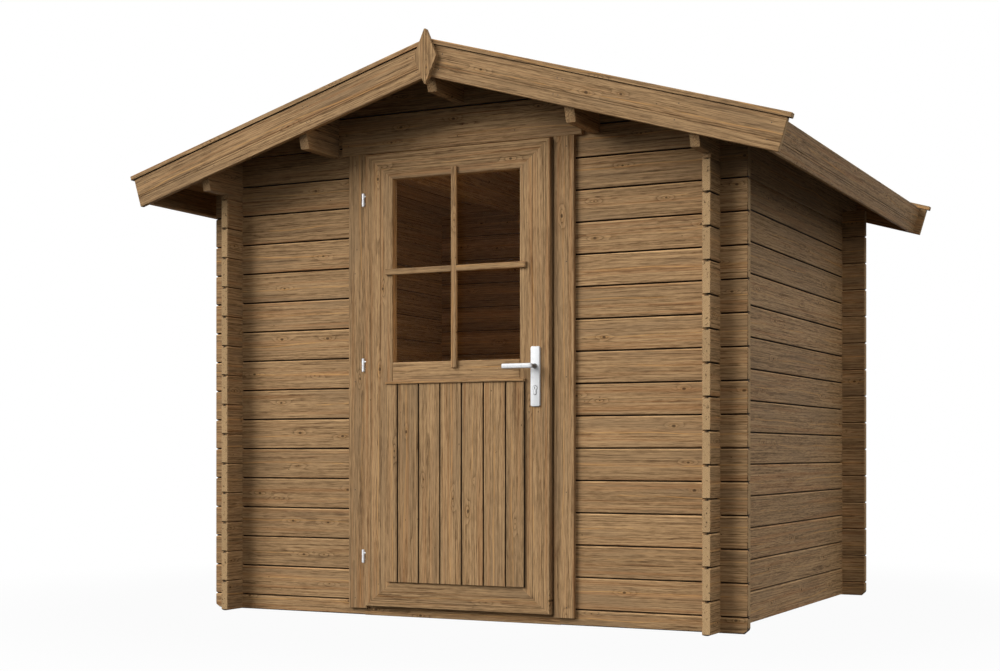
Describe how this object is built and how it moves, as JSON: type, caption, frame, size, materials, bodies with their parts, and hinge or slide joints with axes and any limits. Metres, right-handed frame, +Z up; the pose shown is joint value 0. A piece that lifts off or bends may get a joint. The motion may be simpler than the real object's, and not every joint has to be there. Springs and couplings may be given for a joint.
{
  "type": "wooden garden shed",
  "caption": "Small log-built garden shed with a shallow pitched board roof, interlocked corner log ends and a half-glazed plank door with a lever handle.",
  "frame": {"origin": "on the ground, at the centre of the plan", "axes": "+X to the right along the front, +Y from the front to the back, +Z up"},
  "size_m": [2.7762, 2.316, 2.214],
  "materials": {
    "log_wood": "weathered brown stain, fine horizontal grain",
    "roof_wood": "weathered brown stain, planed boards",
    "trim_wood": "weathered brown stain, grain along each board",
    "door_wood": "weathered brown stain, grain along each board",
    "floor_wood": "bare planed boards",
    "door_glass": "clear, slightly dusty",
    "hinge_metal": "satin zinc",
    "handle_metal": "satin"
  },
  "bodies": {
    "shed": {"front_wall_left": "log_wood", "front_wall_right": "log_wood", "front_gable": "log_wood", "front_sill_log": "log_wood", "back_wall": "log_wood", "back_gable": "log_wood", "left_wall": "log_wood", "right_wall": "log_wood", "left_eave_purlin": "log_wood", "right_eave_purlin": "log_wood", "mid_purlins": "log_wood", "ridge_purlin": "log_wood", "left_roof_deck": "roof_wood", "right_roof_deck": "roof_wood", "front_left_barge": "trim_wood", "front_right_barge": "trim_wood", "back_left_barge": "trim_wood", "back_right_barge": "trim_wood", "front_left_capping": "trim_wood", "front_right_capping": "trim_wood", "back_left_capping": "trim_wood", "back_right_capping": "trim_wood", "fascias": "trim_wood", "finials": "trim_wood", "door_jambs": "trim_wood", "door_head": "trim_wood", "door_threshold": "trim_wood", "side_casings": "trim_wood", "head_casing": "trim_wood", "inner_side_casings": "trim_wood", "inner_head_casing": "trim_wood", "floor_boards": "floor_wood", "floor_bearers": "floor_wood", "hinge_frame_halves": "hinge_metal"},
    "door": {"left_stile": "door_wood", "right_stile": "door_wood", "top_rail": "door_wood", "mid_rail": "door_wood", "bottom_rail": "door_wood", "door_glass": "door_glass", "glazing_bars": "door_wood", "door_panel": "door_wood", "drip_strip": "door_wood", "hinge_leaf_halves": "hinge_metal", "outer_plate": "handle_metal", "inner_plate": "handle_metal", "lock_cylinder": "handle_metal"},
    "lever": {"lever": "handle_metal"}
  },
  "joints": [
    {"name": "door_hinge", "type": "hinge", "parent": "shed", "child": "door", "pos_m": [-0.415, -0.91, 0.99], "axis": [0, 0, -1], "range_deg": [0, 140]},
    {"name": "lever_turn", "type": "hinge", "parent": "door", "child": "lever", "pos_m": [0.343, -0.92, 0.968], "axis": [0, -1, 0], "range_deg": [0, 40], "stiffness_Nm_per_rad": 1, "springref_deg": -28.65}
  ]
}
